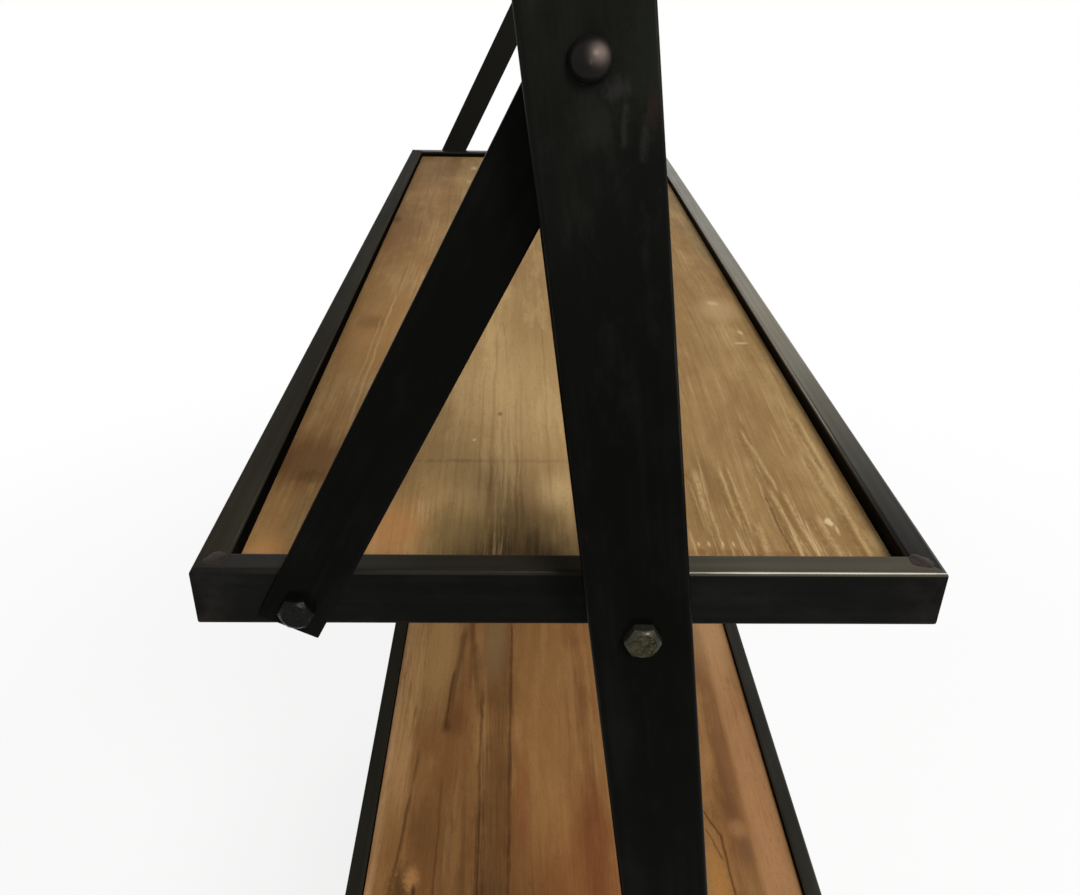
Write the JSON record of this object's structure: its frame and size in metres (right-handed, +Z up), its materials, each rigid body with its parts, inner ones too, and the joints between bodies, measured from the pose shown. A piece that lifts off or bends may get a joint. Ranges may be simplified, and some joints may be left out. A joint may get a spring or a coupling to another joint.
{
  "type": "leaning-mast shelf unit",
  "caption": "Free-standing shelf unit: fir panels set in blackened-steel tube frames that get deeper towards the floor, bolted to leaning tube masts with diagonal flat straps.",
  "frame": {"origin": "on the floor, in the middle of the box round the unit, which is the middle of the lowest shelf", "axes": "+Z up, X along the shelves, -Y the open front, +Y the back where all the shelves end in one plane"},
  "size_m": [0.925, 0.431, 1.6233],
  "materials": {
    "black_steel": "satin blackened steel",
    "bolt_steel": "aged plain steel",
    "bronzed_steel": "brown burnished steel",
    "fir": "stained and worn fir",
    "foot_plastic": "matte black plastic"
  },
  "bodies": {
    "root": {"dome_bolts": "bronzed_steel", "dome_nuts": "bronzed_steel", "dome_washers": "bronzed_steel", "left_mast": "black_steel", "left_mast_cap": "black_steel", "left_mast_foot": "foot_plastic", "left_rear_foot": "foot_plastic", "left_rear_leg": "black_steel", "mast_bolts": "bolt_steel", "mast_spacers": "bolt_steel", "mast_weld_nuts": "bolt_steel", "panel_screws": "bolt_steel", "right_mast": "black_steel", "right_mast_cap": "black_steel", "right_mast_foot": "foot_plastic", "right_rear_foot": "foot_plastic", "right_rear_leg": "black_steel", "shelf_1_back_rail": "black_steel", "shelf_1_bearers": "black_steel", "shelf_1_front_rail": "black_steel", "shelf_1_left_rail": "black_steel", "shelf_1_left_strap": "black_steel", "shelf_1_panel": "fir", "shelf_1_right_rail": "black_steel", "shelf_1_right_strap": "black_steel", "shelf_2_back_rail": "black_steel", "shelf_2_bearers": "black_steel", "shelf_2_front_rail": "black_steel", "shelf_2_left_rail": "black_steel", "shelf_2_left_strap": "black_steel", "shelf_2_panel": "fir", "shelf_2_right_rail": "black_steel", "shelf_2_right_strap": "black_steel", "shelf_3_back_rail": "black_steel", "shelf_3_bearers": "black_steel", "shelf_3_front_rail": "black_steel", "shelf_3_left_rail": "black_steel", "shelf_3_left_strap": "black_steel", "shelf_3_panel": "fir", "shelf_3_right_rail": "black_steel", "shelf_3_right_strap": "black_steel", "shelf_4_back_rail": "black_steel", "shelf_4_bearers": "black_steel", "shelf_4_front_rail": "black_steel", "shelf_4_left_rail": "black_steel", "shelf_4_left_strap": "black_steel", "shelf_4_panel": "fir", "shelf_4_right_rail": "black_steel", "shelf_4_right_strap": "black_steel", "strap_bolts": "bolt_steel", "strap_weld_nuts": "bolt_steel"}
  },
  "joints": []
}
